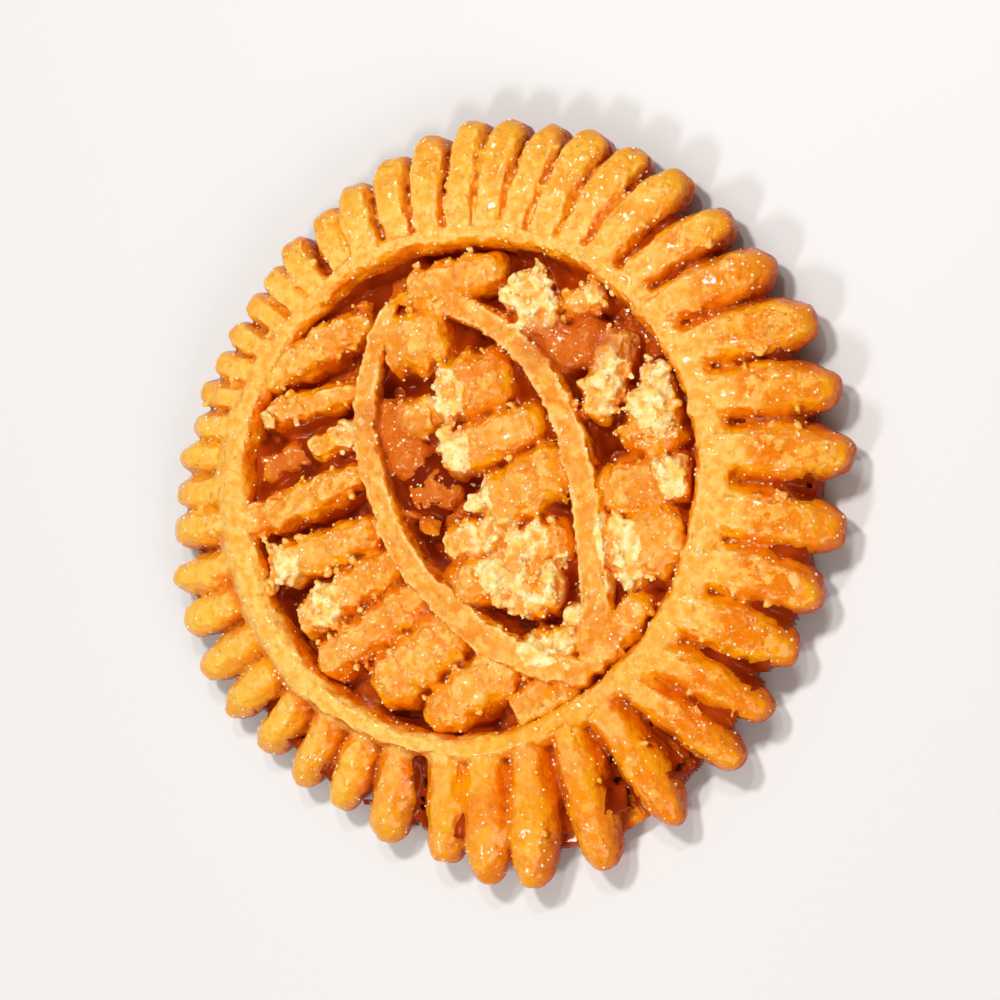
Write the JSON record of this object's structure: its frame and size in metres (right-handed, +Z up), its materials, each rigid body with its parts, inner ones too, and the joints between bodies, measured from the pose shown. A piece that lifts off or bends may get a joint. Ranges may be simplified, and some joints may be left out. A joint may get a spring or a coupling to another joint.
{
  "type": "nakshi pitha",
  "caption": "Round carved rice-flour cake, fried and syrup-dipped: a fringe of petals round a raised ring, and a leaf with snapped bars inside.",
  "frame": {"origin": "under the middle of the cake, on the surface that it lies on", "axes": "+Z up out of the carved face; +X and +Y in the plane of the cake, the leaf's axis running from -X +Y to +X -Y"},
  "size_m": [0.1006, 0.1025, 0.0092],
  "materials": {
    "fried_dough": "golden fried rice dough under a thin coat of syrup, paler where it broke"
  },
  "bodies": {
    "root": {"pitha": "fried_dough"}
  },
  "joints": []
}
